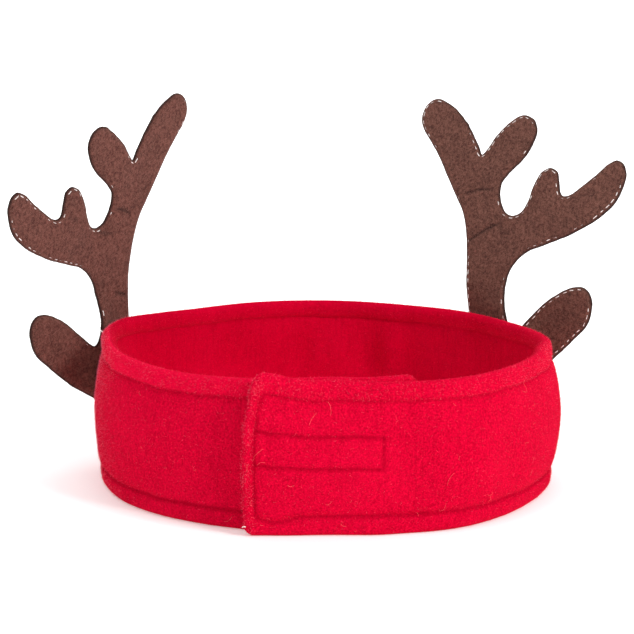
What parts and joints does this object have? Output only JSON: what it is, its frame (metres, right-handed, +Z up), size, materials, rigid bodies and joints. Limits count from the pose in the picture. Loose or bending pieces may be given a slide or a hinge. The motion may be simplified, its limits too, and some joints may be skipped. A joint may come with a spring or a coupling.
{
  "type": "reindeer antler headband",
  "caption": "Soft fleece headband closed with an overlapping stitched flap, with flat felt reindeer antlers standing on its far wall.",
  "frame": {"origin": "on the floor, below the middle of the whole piece's outline in plan", "axes": "+X across, from the left antler to the right one as seen from the flap; -Y out of the flap; +Z up"},
  "size_m": [0.2556, 0.1928, 0.1571],
  "materials": {
    "red_fleece": "napped, matt",
    "brown_felt": "needled, matt",
    "closure_tape": "matt"
  },
  "bodies": {
    "root": {"fleece_band": "red_fleece", "closure_tape": "closure_tape", "antler_left_inner_felt": "brown_felt", "antler_left_outer_felt": "brown_felt", "antler_right_inner_felt": "brown_felt", "antler_right_outer_felt": "brown_felt"}
  },
  "joints": []
}
